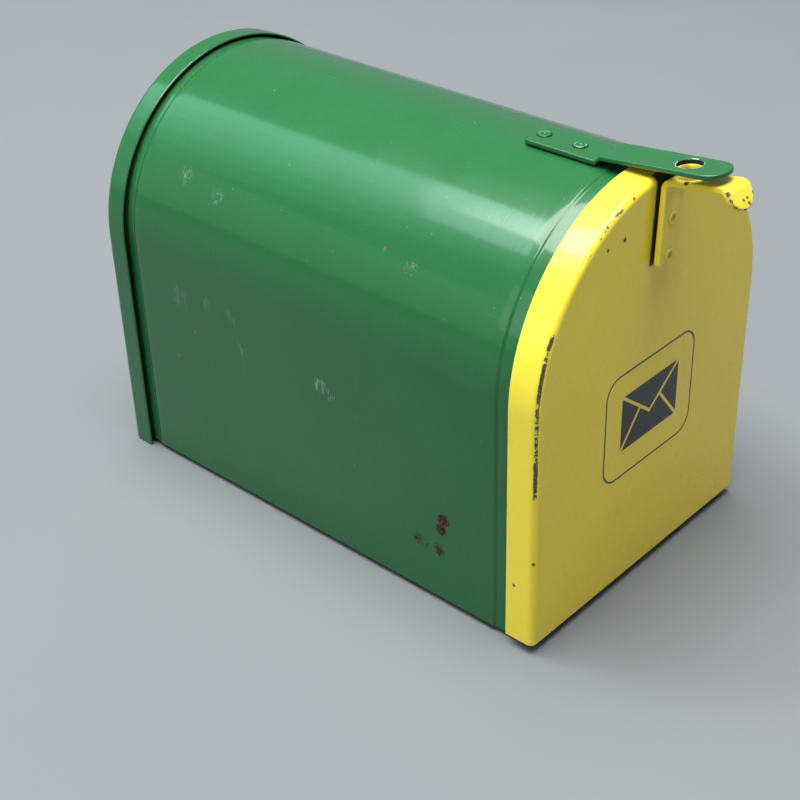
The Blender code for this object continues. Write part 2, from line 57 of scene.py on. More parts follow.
FRONT_Y = DOOR_LOW.y
BACK_Y = BACK_HIGH.y
HALF_WIDTH = DOOR_HIGH.x
SPRING_Z = DOOR_HIGH.z - DOOR_HIGH.x
BODY_HALF_WIDTH = BODY_HIGH.x
CROWN_Z = SPRING_Z + BODY_HALF_WIDTH

SHEET = 0.6 * MM
BEND_RADIUS = 1.5 * MM
NECK_DROP = 0.35 * MM
FRONT_NECK = 11.6 * MM
REAR_NECK = 9.6 * MM
NECK_RAMP = 0.7 * MM

PADLOCK_Y = 5.4 * MM
HANDLE_X = 0.8 * MM
HANDLE_LEAN = 0.055
HANDLE_HALF = 3.4 * MM
HANDLE_TOP_Z = 100.2 * MM
RIVET_BORE = 0.9 * MM
FLAG_BORE = 1.3 * MM
DRILL_DEPTH = 4.0 * MM
STRAP_RIVETS = ("strap_rivet_rear", "strap_rivet_front")
HANDLE_RIVETS = ("handle_rivet_upper", "handle_rivet_lower")

ARC_STEPS = 120
SIDE_STEPS = 24
LONG_STEPS = 56
ROUND_STEPS = 48
SHEET_EDGE = 0.15 * MM


# --- small shape tools -------------------------------------------------------------------------------------


def arc(centre, radius, start, end, steps):
    """Points on an arc, with angles in degrees measured from the first axis to the second."""
    points = []
    for step in range(steps + 1):
        angle = math.radians(start + (end - start) * step / steps)
        points.append((centre[0] + radius * math.cos(angle), centre[1] + radius * math.sin(angle)))
    return points


def mesh_object(name, bm):
    """A new object in the scene, with the finished bmesh as its mesh."""
    mesh = bpy.data.meshes.new(name)
    bm.to_mesh(mesh)
    bm.free()
    holder = bpy.data.objects.new(name, mesh)
    bpy.context.scene.collection.objects.link(holder)
    return holder


def make_piece(name, bm, looks, body, stands_for, flat_angle=35.0):
    """A finished mesh piece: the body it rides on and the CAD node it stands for."""
    bmesh.ops.recalc_face_normals(bm, faces=bm.faces)
    piece = mesh_object(name, bm)
    piece.data.shade_smooth()
    piece.data.set_sharp_from_angle(angle=math.radians(flat_angle))
    for look in looks:
        piece.data.materials.append(look)
    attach(piece, body)
    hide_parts(stands_for)
    return piece


def round_edges(piece, width, segments=3, angle=40.0):
    """Rounds the piece's sharp edges as real geometry."""
    bevel = piece.modifiers.new("rounded edges", "BEVEL")
    bevel.width = width
    bevel.segments = segments
    bevel.limit_method = "ANGLE"
    bevel.angle_limit = math.radians(angle)
    bevel.harden_normals = True
    return piece


def even_normals(piece):
    """Keeps broad faces flat against their rounded edges."""
    weighted = piece.modifiers.new("even normals", "WEIGHTED_NORMAL")
    weighted.keep_sharp = True
    weighted.weight = 60
    return piece


def arch_outline(half_width, spring_z, bottom_z, wave=None, y=0.0):
    """The arch outline from its lower -X end over the crown to its lower +X end, dented inwards by wave."""
    points = []
    for step in range(SIDE_STEPS):
        points.append((-1.0, 0.0, bottom_z + (spring_z - bottom_z) * step / SIDE_STEPS))
    for step in range(ARC_STEPS + 1):
        angle = math.pi * (1 - step / ARC_STEPS)
        points.append((math.cos(angle), math.sin(angle), spring_z))
    for step in range(SIDE_STEPS):
        points.append((1.0, 0.0, spring_z + (bottom_z - spring_z) * (step + 1) / SIDE_STEPS))
    outline = []
    for out_x, out_z, base_z in points:
        reach = half_width - (wave(out_x, out_z, base_z, y) if wave else 0.0)
        outline.append((reach * out_x, base_z + reach * out_z))
    return outline


def sweep_arch(bm, profile, half_width, spring_z, bottom_z, closed, wave=None):
    """Sweeps a sheet profile of (inset, y) points along the arch and returns its rows of vertices."""
    outlines = [arch_outline(half_width - inset, spring_z, bottom_z, wave, y) for inset, y in profile]
    rows = []
    for index in range(len(outlines[0])):
        rows.append([
            bm.verts.new((outline[index][0], y, outline[index][1]))
            for outline, (_, y) in zip(outlines, profile)
        ])
    count = len(profile)
    strips = []
    for row, following in zip(rows, rows[1:]):
        for first in range(count if closed else count - 1):
            second = (first + 1) % count
            face = bm.faces.new((row[first], row[second], following[second], following[first]))
            strips.append((first, face))
    return rows, strips


def blank(outline, holes, thickness, edge):
    """A flat sheet blank with rounded edges: 2D outline and holes, thickness centred on zero."""
    curve = bpy.data.curves.new("blank", "CURVE")
    curve.dimensions = "2D"
    curve.fill_mode = "BOTH"
    curve.extrude = thickness / 2 - edge
    curve.bevel_depth = edge
    curve.bevel_resolution = 3
    curve.offset = -edge
    for loop in [outline, *holes]:
        spline = curve.splines.new("POLY")
        spline.points.add(len(loop) - 1)
        spline.use_cyclic_u = True
        for point, (u, v) in zip(spline.points, loop):
            point.co = (u, v, 0.0, 1.0)
    holder = bpy.data.objects.new("blank", curve)
    bpy.context.scene.collection.objects.link(holder)
    graph = bpy.context.evaluated_depsgraph_get()
    mesh = holder.evaluated_get(graph).to_mesh()
    bm = bmesh.new()
    bm.from_mesh(mesh)
    holder.evaluated_get(graph).to_mesh_clear()
    bpy.data.objects.remove(holder)
    bpy.data.curves.remove(curve)
    bmesh.ops.remove_doubles(bm, verts=bm.verts, dist=0.002 * MM)
    return bm


def score(bm, axis, places):
    """Adds edge lines across the blank at the given places, so that it can bend there."""
    for place in places:
        normal = [0.0, 0.0, 0.0]
        normal[axis] = 1.0
        point = [place * value for value in normal]
        geometry = [*bm.verts, *bm.edges, *bm.faces]
        bmesh.ops.bisect_plane(bm, geom=geometry, dist=1e-7, plane_co=point, plane_no=normal)


def press(bm, form):
    """Moves every vertex by a function of its flat position."""
    for vertex in bm.verts:
        vertex.co = form(*vertex.co)


def turned(profile, place, steps=ROUND_STEPS):
    """A solid of revolution from (radius, height) points whose first and last radius is zero."""
    bm = bmesh.new()
    rings = []
    for radius, height in profile[1:-1]:
        rings.append([
            bm.verts.new(place(radius * math.cos(turn), radius * math.sin(turn), height))
            for turn in (2 * math.pi * step / steps for step in range(steps))
        ])
    ends = [bm.verts.new(place(0.0, 0.0, profile[index][1])) for index in (0, -1)]
    for step in range(steps):
        following = (step + 1) % steps
        bm.faces.new((ends[0], rings[0][step], rings[0][following]))
        bm.faces.new((ends[1], rings[-1][following], rings[-1][step]))
        for ring, outer in zip(rings, rings[1:]):
            bm.faces.new((ring[step], outer[step], outer[following], ring[following]))
    return bm


# --- procedural finishes -----------------------------------------------------------------------------------


class Field:
    """A value in a material's node tree, with arithmetic, so that a pattern reads as a formula."""

    def __init__(self, tree, socket):
        self.tree = tree
        self.socket = socket

    def math(self, operation, *others, clamp=False):
        node = self.tree.nodes.new("ShaderNodeMath")
        node.operation = operation
        node.use_clamp = clamp
        for index, value in enumerate((self, *others)):
            if isinstance(value, Field):
                self.tree.links.new(value.socket, node.inputs[index])
            else:
                node.inputs[index].default_value = value
        return Field(self.tree, node.outputs[0])

    def __add__(self, other):
        return self.math("ADD", other)

    def __sub__(self, other):
        return self.math("SUBTRACT", other)

    def __mul__(self, other):
        return self.math("MULTIPLY", other)

    def __neg__(self):
        return self.math("MULTIPLY", -1.0)

    def size(self):
        return self.math("ABSOLUTE")

    def lowest(self, other):
        return self.math("MINIMUM", other)

    def highest(self, other):
        return self.math("MAXIMUM", other)

    def root(self):
        return self.math("SQRT")

    def inverse(self):
        return (-self) + 1.0

    def rise(self, low, high):
        """0 below low and 1 above high, smooth between. With low above high, it falls instead."""
        node = self.tree.nodes.new("ShaderNodeMapRange")
        node.interpolation_type = "SMOOTHSTEP"
        falling = low > high
        node.inputs["From Min"].default_value = high if falling else low
        node.inputs["From Max"].default_value = low if falling else high
        node.inputs["To Min"].default_value = 1.0 if falling else 0.0
        node.inputs["To Max"].default_value = 0.0 if falling else 1.0
        self.tree.links.new(self.socket, node.inputs["Value"])
        return Field(self.tree, node.outputs["Result"])


class Finish:
    """A material being made: its coordinates in the object's frame, in millimetres, and its shader."""

    def __init__(self, name):
        self.material = bpy.data.materials.new(name)
        self.material.use_nodes = True
        self.tree = self.material.node_tree
        self.shader = self.tree.nodes["Principled BSDF"]
        place = self.tree.nodes.new("ShaderNodeTexCoord")
        scale = self.tree.nodes.new("ShaderNodeVectorMath")
        scale.operation = "SCALE"
        scale.inputs["Scale"].default_value = 1.0 / MM
        self.tree.links.new(place.outputs["Object"], scale.inputs[0])
        self.place = scale.outputs[0]
        split = self.tree.nodes.new("ShaderNodeSeparateXYZ")
        self.tree.links.new(self.place, split.inputs[0])
        self.x, self.y, self.z = (Field(self.tree, output) for output in split.outputs)

    def noise(self, wavelength, detail=2.0, roughness=0.5, stretch=(1.0, 1.0, 1.0), seed=0.0):
        """Noise from 0 to 1 with the given wavelength in millimetres, longer by stretch along each axis."""
        mapping = self.tree.nodes.new("ShaderNodeMapping")
        mapping.inputs["Scale"].default_value = [1.0 / value for value in stretch]
        mapping.inputs["Location"].default_value = (seed, seed * 0.7, seed * 1.3)
        self.tree.links.new(self.place, mapping.inputs["Vector"])
        node = self.tree.nodes.new("ShaderNodeTexNoise")
        node.inputs["Scale"].default_value = 1.0 / wavelength
        node.inputs["Detail"].default_value = detail
        node.inputs["Roughness"].default_value = roughness
        self.tree.links.new(mapping.outputs[0], node.inputs["Vector"])
        return Field(self.tree, node.outputs["Fac"])

    def near(self, x, behind, z, radius, softness):
        """1 inside a ball, falling to 0 at its radius. Its centre is given behind the door's face, in mm."""
        across = self.x - x
        along = self.y - (FRONT_Y / MM + behind)
        up = self.z - z
        away = (across * across + along * along + up * up).root()
        return away.rise(radius, radius * (1.0 - softness))

    def spots(self, softness, rows):
        """The strongest of several balls, each a row of (x, behind the door's face, z, radius, strength)."""
        return self.any_of([
            self.near(x, behind, z, radius, softness) * strength for x, behind, z, radius, strength in rows
        ])

    def any_of(self, fields):
        total = fields[0]
        for field in fields[1:]:
            total = total.highest(field)
        return total

    def mix(self, factor, first, second):
        node = self.tree.nodes.new("ShaderNodeMix")
        node.data_type = "RGBA"
        self.tree.links.new(factor.socket, node.inputs["Factor"])
        for socket, value in zip((node.inputs["A"], node.inputs["B"]), (first, second)):
            if isinstance(value, tuple):
                socket.default_value = (*value, 1.0)
            else:
                self.tree.links.new(value, socket)
        return node.outputs["Result"]

    def paint(self, colour=None, roughness=None, metallic=None, height=None, coat=None):
        """Joins the patterns to the shader. Height is in millimetres."""
        if colour is not None:
            self.tree.links.new(colour, self.shader.inputs["Base Color"])
        if roughness is not None:
            self.tree.links.new(roughness.socket, self.shader.inputs["Roughness"])
        if metallic is not None:
            self.tree.links.new(metallic.socket, self.shader.inputs["Metallic"])
        if coat is not None:
            self.tree.links.new(coat.socket, self.shader.inputs["Coat Weight"])
        if height is not None:
            bump = self.tree.nodes.new("ShaderNodeBump")
            bump.inputs["Strength"].default_value = 1.0
            bump.inputs["Distance"].default_value = MM
            self.tree.links.new(height.socket, bump.inputs["Height"])
            self.tree.links.new(bump.outputs[0], self.shader.inputs["Normal"])
            self.tree.links.new(bump.outputs[0], self.shader.inputs["Coat Normal"])
        return self.material


CHIP_STEEL = (0.042, 0.038, 0.028)
CHIP_RUST = (0.012, 0.007, 0.007)
PRIMER = (0.42, 0.41, 0.34)
# Near-black colour for painted shade in gaps, holes and under the strap.
PAINTED_SHADE_BLACK = (0.010, 0.009, 0.006)
INK = (0.006, 0.012, 0.012)


def enamel(name, pigment, deep, coat, chips=None, scuffs_and_highlights=None, rust=None, ink=None, brushed=None, painted_shade=None):
    """Gloss enamel on steel. Each kind of wear, and each painted shade or highlight, is a function that
    returns its mask.
    """
    look = Finish(name)
    cloud = look.noise(38.0, 3.0, 0.55, seed=3.0).rise(0.3, 0.7)
    mottle = look.noise(0.9, 3.0, 0.6, seed=11.0).rise(0.25, 0.75)
    colour = look.mix(cloud * 0.4 + mottle * 0.25, pigment, deep)
    roughness = look.noise(14.0, 4.0, 0.6, seed=21.0).rise(0.3, 0.8) * 0.10 + 0.24
    # Orange peel and the sheet's own long waves.
    height = look.noise(1.5, 2.0, 0.5, seed=5.0) * 0.0012 + look.noise(22.0, 1.0, 0.4, seed=9.0) * 0.030
    # Hairline scratches in two directions.
    along = look.noise(0.35, 1.0, 0.5, stretch=(30.0, 42.0, 1.0), seed=31.0).rise(0.74, 0.80)
    across = look.noise(0.35, 1.0, 0.5, stretch=(34.0, 1.0, 30.0), seed=37.0).rise(0.75, 0.81)
    hair = along.highest(across) * look.noise(17.0, 2.0, 0.5, seed=41.0).rise(0.52, 0.68)
    colour = look.mix(hair * 0.16, colour, (0.35, 0.40, 0.35))
    roughness = roughness + hair * 0.25
    height = height - hair * 0.003
    metallic = None
    lost = []
    # Dust specks.
    specks = look.noise(0.55, 0.0, 0.5, seed=51.0).rise(0.875, 0.895)
    colour = look.mix(specks * 0.35, colour, (0.50, 0.52, 0.46))
    if brushed:
        lines = look.noise(0.22, 1.0, 0.5, stretch=(60.0, 1.0, 60.0), seed=61.0)
        area = brushed(look)
        height = height + (lines - 0.5) * area * 0.012
        roughness = roughness + area * 0.05
    if ink:
        colour = look.mix(ink(look), colour, INK)
    # Pale marks: real scuffs, and a painted highlight on the strap rivets' rims.
    if scuffs_and_highlights:
        mark = scuffs_and_highlights(look)
        colour = look.mix(mark, colour, (0.50, 0.56, 0.56))
        roughness = roughness + mark * 0.3
    if rust:
        stain = rust(look)
        grain = look.noise(0.55, 4.0, 0.75, seed=71.0)
        rusty = look.mix(grain.rise(0.42, 0.62), CHIP_RUST, (0.100, 0.045, 0.042))
        colour = look.mix(stain, colour, rusty)
        lost.append(stain)
        roughness = roughness + stain * 0.5
        height = height - stain * 0.02
    if chips:
        bare, rim = chips(look)
        grain = look.noise(0.45, 4.0, 0.7, seed=81.0)
        steel = look.mix(grain.rise(0.42, 0.6), CHIP_STEEL, (0.15, 0.14, 0.105))
        colour = look.mix(rim * 0.40, colour, PRIMER)
        colour = look.mix(bare, colour, steel)
        lost.append(bare)
        roughness = roughness + bare * 0.30
        metallic = bare * 0.2
        height = height - bare * 0.05
    # Painted shade: near-black where shade falls in gaps, holes and under the strap, with the coat taken off
    # there.
    if painted_shade:
        shade_mask = painted_shade(look)
        colour = look.mix(shade_mask, colour, PAINTED_SHADE_BLACK)
        lost.append(shade_mask)
        roughness = roughness + shade_mask * 0.5
    look.shader.inputs["Specular IOR Level"].default_value = 0.18
    look.shader.inputs["Coat Weight"].default_value = coat
    gloss = look.any_of(lost).inverse() * coat if lost else None
    look.shader.inputs["Coat Roughness"].default_value = 0.085
    look.shader.inputs["Coat IOR"].default_value = 1.5
    return look.paint(colour, roughness.lowest(0.9), metallic, height, gloss)


def ragged(look, field, seed, wavelength=1.1):
    """Turns a soft 0 to 1 field into ragged flakes: (bare metal, the thin rim of undercoat round it)."""
    broken = field + (look.noise(wavelength, 5.0, 0.75, seed=seed) - 0.5) * 1.7
    broken = broken * field.rise(0.02, 0.20)
    return broken.rise(0.57, 0.61), broken.rise(0.51, 0.55)


def box_distance(u, v, half_w, half_h, radius):
    """Distance to a rounded rectangle's outline, below zero inside it."""
    over_u = u.size() - (half_w - radius)
    over_v = v.size() - (half_h - radius)
    corner_u = over_u.highest(0.0)
    corner_v = over_v.highest(0.0)
    corner = (corner_u * corner_u + corner_v * corner_v).root()
    return corner + over_u.highest(over_v).lowest(0.0) - radius


def envelope_mark(look):
    """A plain badge printed on the door: a thin rounded frame with a solid envelope in the middle."""
    u = look.x
    v = look.z - 44.8
    edge = box_distance(u, v, 16.3, 13.2, 4.5).size().rise(0.29, 0.19)
    half_w, half_h = 10.5, 7.0
    rise = v - 0.4
    solid = box_distance(u, rise, half_w, half_h, 0.7).rise(0.05, -0.05)
    # The flap runs from the upper corners down to the middle, the creases from the lower corners up to it.
    across = u.size() * (1.0 / half_w)
    above_flap = rise - across * (half_h + 1.2) + 1.2
    flap = above_flap.size() * 0.79
    crease = (rise - across.inverse() * 13.0 + half_h).size() * 0.63
    crease = crease.highest(above_flap)
    bare_line = flap.lowest(crease).rise(0.42, 0.30)
    drawn = edge.highest(solid * bare_line.inverse())
    front = look.y.rise(FRONT_Y / MM + 0.5, FRONT_Y / MM + 0.2)
    worn = look.noise(0.6, 4.0, 0.75, seed=91.0).rise(0.26, 0.32)
    return drawn * front * worn


def arch_radius(look, spring_z):
    """Distance from the arch's axis above the spring line, and from the centre plane below it."""
    rise = (look.z - spring_z / MM).highest(0.0)
    return (look.x * look.x + rise * rise).root()


def door_chips(look):
    """Chips along the door's front bend: a long strip on the -X side, flecks over the arch, a few strays."""
    outline = arch_radius(look, SPRING_Z) - HALF_WIDTH / MM
    depth = look.y - FRONT_Y / MM
    bend = (outline + depth).size().rise(1.05, 0.30)
    left = look.x.rise(-20.0, -30.0)
    gaps = look.noise(4.5, 2.0, 0.5, seed=97.0).rise(0.34, 0.50) * 0.22 + 0.60
    strip = left * look.z.rise(38.5, 44.0) * look.z.rise(81.0, 77.0) * gaps
    flecks = look.spots(0.8, (
        (-15.0, 0.0, 96.2, 3.6, 0.60),
        (-18.5, 0.0, 94.5, 2.6, 0.60),
        (-20.5, 0.0, 93.0, 1.6, 0.66),
        (-24.0, 0.0, 90.8, 1.6, 0.66),
        (-10.0, 0.0, 98.0, 1.3, 0.66),
        (-39.7, 0.5, 25.0, 1.2, 0.72),
        (33.0, 0.0, 82.0, 5.0, 0.56),
        (39.5, 0.0, 30.0, 4.0, 0.58),
    ))
    strays = look.spots(0.7, (
        (-13.0, 0.0, 90.3, 0.9, 0.74),
        (-18.6, 0.0, 90.2, 0.8, 0.70),
        (-40.0, 5.2, 17.2, 0.8, 0.70),
        (-39.8, 2.6, 79.0, 1.0, 0.66),
        (40.0, 4.0, 48.0, 1.2, 0.66),
    ))
    return ragged(look, (bend * strip.highest(flecks)).highest(strays), 101.0, 0.9)


def door_gap_shade(look):
    """Painted shade: near-black in the narrow gap behind the handle's leg, and on the crown under the strap.
    """
    aside = look.x - HANDLE_X / MM - (look.z - HANDLE_TOP_Z / MM) * HANDLE_LEAN
    behind = aside.size().rise(HANDLE_HALF / MM + 0.35, HANDLE_HALF / MM - 0.15)
    ends = look.z.rise(HANDLE_LOW.z / MM - 0.5, HANDLE_LOW.z / MM + 0.1) * look.z.rise(101.0, 100.2)
    outside = look.y.rise(FRONT_Y / MM + 2.0, FRONT_Y / MM + 1.4)
    crown = look.near(7.4, 0.4, 98.5, 3.0, 0.9) * 0.66
    return (behind * ends).highest(crown) * outside * 0.94


def handle_chips(look):
    """Chips round the finger tab, in the corner where it leaves the tongue, and on the leg's foot."""
    tab = look.spots(0.9, (
        (-3.1, -16.1, 101.3, 1.7, 0.76),
        (-3.1, -17.1, 100.0, 1.4, 0.66),
        (-2.6, -17.9, 98.7, 1.5, 0.66),
        (-1.6, -18.5, 98.0, 1.3, 0.66),
        (-0.2, -18.8, 97.5, 1.4, 0.70),
        (0.4, -17.7, 99.2, 0.9, 0.72),
        (1.7, -17.6, 99.3, 0.9, 0.72),
        (1.6, -18.2, 98.4, 1.0, 0.72),
    ))
    rest = look.spots(0.8, (
        (2.0, -18.6, 97.7, 1.0, 0.66),
        (4.2, -17.5, 99.5, 0.9, 0.78),
        (-2.4, -6.4, 100.7, 1.1, 0.82),
        (-3.6, -0.9, 80.9, 0.7, 0.86),
        (3.2, -2.0, 81.0, 0.8, 0.66),
    ))
    return ragged(look, tab.highest(rest), 131.0, 0.5)


def handle_strap_shade(look):
    """Painted shade, with some dirt, on the tongue under the strap round its hole, and painted shade on the
    leg's back in the gap to the door.
    """
    back = look.y.rise(HANDLE_HIGH.y / MM - 0.40, HANDLE_HIGH.y / MM - 0.12)
    under_strap = look.near(2.6, -3.4, 101.2, 3.6, 0.35)
    hole = look.near(HANDLE_X / MM, -PADLOCK_Y / MM, 101.2, 3.1, 0.3)
    upper = look.z.rise(99.9, 100.3)
    return back.highest(under_strap.highest(hole) * upper) * 0.93


def handle_scuffs(look):
    """A pale worn rim on the tab's outer edge and faint rubbed lines across it."""
    rim = look.near(4.5, -17.1, 99.2, 2.0, 0.6) * look.x.rise(3.4, 4.2)
    lines = look.noise(0.35, 2.0, 0.6, stretch=(9.0, 1.0, 1.0), seed=137.0).rise(0.60, 0.68)
    return rim.highest(lines * look.y.rise(-80.0, -84.0) * 0.22) * 0.8


def axis_distance(look, node, across):
    """Distance from the axis of a rivet that points along Y or Z."""
    low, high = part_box(node)
    middle = (low + high) / 2
    side = look.x - middle.x / MM
    other = look.y - middle.y / MM if across == "z" else look.z - middle.z / MM
    return (side * side + other * other).root()


def rivet_dish_shade(look):
    """Painted shade in the dish of each rivet head on the handle."""
    dishes = [axis_distance(look, node, "y").rise(1.20, 0.45) for node in HANDLE_RIVETS]
    return look.any_of(dishes) * 0.45


def rivet_rim_highlight(look):
    """A painted highlight on the rims of the strap's rivets, pale in patches round each rim."""
    places = look.noise(1.6, 1.0, 0.5, seed=147.0).rise(0.46, 0.58)
    rims = []
    for node in STRAP_RIVETS:
        away = axis_distance(look, node, "z")
        rims.append(away.rise(1.08, 1.18) * away.rise(1.42, 1.30))
    return look.any_of(rims) * places * 0.40


def hole_distance(look):
    """Distance from the axis of the strap's padlock hole."""
    along = look.y - (FRONT_Y - PADLOCK_Y) / MM
    return (look.x * look.x + along * along).root()


def strap_chips(look):
    """Chips at the padlock hole's rim and along the strap's long edges."""
    rim = hole_distance(look).rise(3.10, 2.60) * look.noise(2.2, 2.0, 0.5, seed=139.0).rise(0.42, 0.60) * 0.70
    side = look.x.size().rise(STRAP_HIGH.x / MM - 0.40, STRAP_HIGH.x / MM - 0.05)
    places = look.noise(6.0, 2.0, 0.5, seed=141.0).rise(0.54, 0.66)
    front = look.y.rise(FRONT_Y / MM + 14.0, FRONT_Y / MM + 6.0)
    return ragged(look, rim.highest(side * places * front * 0.58), 143.0, 0.7)


def strap_scuffs(look):
    """A bright worn line round the padlock hole's upper rim."""
    ring = hole_distance(look)
    worn = look.noise(1.8, 2.0, 0.5, seed=145.0).rise(0.44, 0.56)
    return ring.rise(2.98, 2.85) * ring.rise(2.62, 2.72) * worn * 0.85


def strap_shade(look):
    """Painted shade in the padlock hole and in the seam under each rivet head's rim."""
    seams = [axis_distance(look, node, "z").rise(1.85, 1.62) for node in STRAP_RIVETS]
    hole = hole_distance(look).rise(2.78, 2.64)
    return look.any_of([*seams, hole]) * 0.88


def body_chips(look):
    """Dark nicks on the shoulder, at the neck and on the side, through to the metal."""
    nicks = look.spots(0.7, (
        (-33.6, 38.6, 79.7, 3.2, 0.46),
        (-33.0, 37.0, 77.0, 1.6, 0.56),
        (-32.5, 46.5, 81.0, 0.8, 0.66),
        (-38.5, 8.6, 64.0, 1.3, 0.70),
        (33.5, 70.0, 80.0, 2.2, 0.56),
        (-38.9, 105.0, 42.0, 1.0, 0.60),
        (-38.9, 112.0, 33.0, 1.1, 0.60),
    ))
    return ragged(look, nicks, 151.0, 0.7)


def body_scuffs(look):
    """Faint rubbed marks on the -X side and shoulder, with a few on the far side."""
    marks = look.spots(0.9, (
        (-33.2, 109.0, 80.3, 3.0, 0.20),
        (-34.2, 97.0, 78.5, 2.8, 0.20),
        (-38.9, 109.5, 50.0, 4.4, 0.13),
        (-38.9, 99.5, 52.0, 2.6, 0.12),
        (-38.9, 91.0, 51.5, 2.8, 0.13),
        (-38.9, 88.0, 44.0, 3.4, 0.13),
        (-38.9, 62.5, 44.0, 2.8, 0.45),
        (-38.9, 59.5, 42.5, 2.2, 0.45),
        (38.9, 76.0, 25.0, 5.0, 0.15),
        (36.0, 40.0, 74.0, 3.0, 0.18),
    ))
    streaks = look.noise(0.5, 3.0, 0.65, stretch=(1.0, 1.0, 6.0), seed=161.0).rise(0.50, 0.60)
    return marks * streaks


def body_rust(look):
    """Dark rust blooms low on the -X side, near the door, with specks round them."""
    blooms = look.spots(0.8, (
        (-38.9, 26.0, 23.6, 3.2, 0.78),
        (-38.9, 26.6, 20.8, 3.0, 0.76),
        (-38.9, 27.3, 15.0, 3.4, 0.62),
        (-38.9, 33.5, 15.0, 3.6, 0.55),
        (-38.9, 31.0, 14.0, 2.0, 0.46),
    ))
    broken = blooms + (look.noise(0.8, 5.0, 0.8, seed=171.0) - 0.5) * 1.6
    return broken.rise(0.50, 0.56)


def body_seam_shade(look):
    """Painted shade: a dark line in the seams where the body goes under the door's flange and the back
    panel's flange.
    """
    door = look.y - DOOR_HIGH.y / MM
    back = -(look.y - BACK_LOW.y / MM)
    seams = [edge.rise(0.9, 0.2) * edge.rise(-1.2, -0.3) for edge in (door, back)]
    return look.any_of(seams) * 0.80


def body_brushed(look):
    """A patch of fine rubbed lines on the shoulder behind the door."""
    start = look.y.rise(FRONT_Y / MM + 12.0, FRONT_Y / MM + 16.0)
    stop = look.y.rise(FRONT_Y / MM + 44.0, FRONT_Y / MM + 34.0)
    height = look.z.rise(84.0, 88.0) * look.z.rise(96.5, 94.0)
    return start * stop * height * look.x.rise(0.0, -8.0)


def bare_steel(name, tint, patch_size, roughness_low, roughness_high):
    """Plated steel: faint grain along X, dull patches and a few dark specks."""
    look = Finish(name)
    grain = look.noise(0.25, 2.0, 0.6, stretch=(20.0, 1.0, 1.0), seed=7.0)
    patch = look.noise(patch_size, 4.0, 0.6, seed=13.0).rise(0.35, 0.65)
    dark = tuple(value * 0.62 for value in tint)
    colour = look.mix(patch * 0.5 + grain * 0.2, tint, dark)
    specks = look.noise(1.1, 4.0, 0.8, seed=17.0).rise(0.68, 0.74)
    colour = look.mix(specks * 0.7, colour, (0.10, 0.06, 0.045))
    spread = roughness_high - roughness_low
    roughness = patch * spread * 0.6 + grain * spread * 0.4 + roughness_low + specks * 0.25
    height = grain * 0.002 + look.noise(3.0, 2.0, 0.5, seed=19.0) * 0.006
    look.shader.inputs["Metallic"].default_value = 1.0
    return look.paint(colour, roughness, None, height)


GREEN = (0.014, 0.112, 0.034)
DEEP_GREEN = (0.011, 0.095, 0.027)
YELLOW = (0.86, 0.68, 0.050)
DEEP_YELLOW = (0.80, 0.61, 0.038)
RED = (0.50, 0.022, 0.014)
DEEP_RED = (0.42, 0.016, 0.010)

green_body = enamel(
    "green_enamel_body",
    GREEN,
    DEEP_GREEN,
    0.6,
    chips=body_chips,
    scuffs_and_highlights=body_scuffs,
    rust=body_rust,
    brushed=body_brushed,
    painted_shade=body_seam_shade,
)
green_plain = enamel("green_enamel", GREEN, DEEP_GREEN, 0.6)
green_strap = enamel(
    "green_enamel_strap", GREEN, DEEP_GREEN, 0.6, chips=strap_chips, scuffs_and_highlights=strap_scuffs, painted_shade=strap_shade
)
green_rivet = enamel("green_enamel_rivet", GREEN, DEEP_GREEN, 0.6, scuffs_and_highlights=rivet_rim_highlight)
green_inside = enamel("green_enamel_inside", (0.014, 0.075, 0.028), (0.010, 0.055, 0.020), 0.15)
yellow_door = enamel(
    "yellow_enamel_door", YELLOW, DEEP_YELLOW, 0.5, chips=door_chips, ink=envelope_mark, painted_shade=door_gap_shade
)
yellow_inside = enamel("yellow_enamel_inside", (0.70, 0.50, 0.05), DEEP_YELLOW, 0.15)
yellow_handle = enamel(
    "yellow_enamel_handle",
    YELLOW,
    DEEP_YELLOW,
    0.5,
    chips=handle_chips,
    scuffs_and_highlights=handle_scuffs,
    painted_shade=handle_strap_shade,
)
yellow_rivet = enamel("yellow_enamel_rivet", YELLOW, DEEP_YELLOW, 0.5, painted_shade=rivet_dish_shade)
red_flag = enamel("red_enamel_flag", RED, DEEP_RED, 0.6)
zinc_steel = bare_steel("zinc_steel", (0.56, 0.57, 0.58), 9.0, 0.28, 0.46)
wire_steel = bare_steel("wire_steel", (0.50, 0.50, 0.49), 3.0, 0.18, 0.34)


# --- pieces on the box -------------------------------------------------------------------------------------


def sheet_wave(out_x, out_z, base_z, y):
    """How far the body's sheet is drawn in: long shallow waves that die out towards both ends."""
    clear_front = min(1.0, max(0.0, (y - FRONT_Y - 14 * MM) / (20 * MM)))
    clear_rear = min(1.0, max(0.0, (BACK_Y - 12 * MM - y) / (20 * MM)))
    place = Vector((out_x * 1.4, y / (42 * MM), (base_z / (38 * MM)) + out_z * 1.5))
    return 0.09 * MM * clear_front * clear_rear * (0.5 + 0.5 * noise.noise(place))


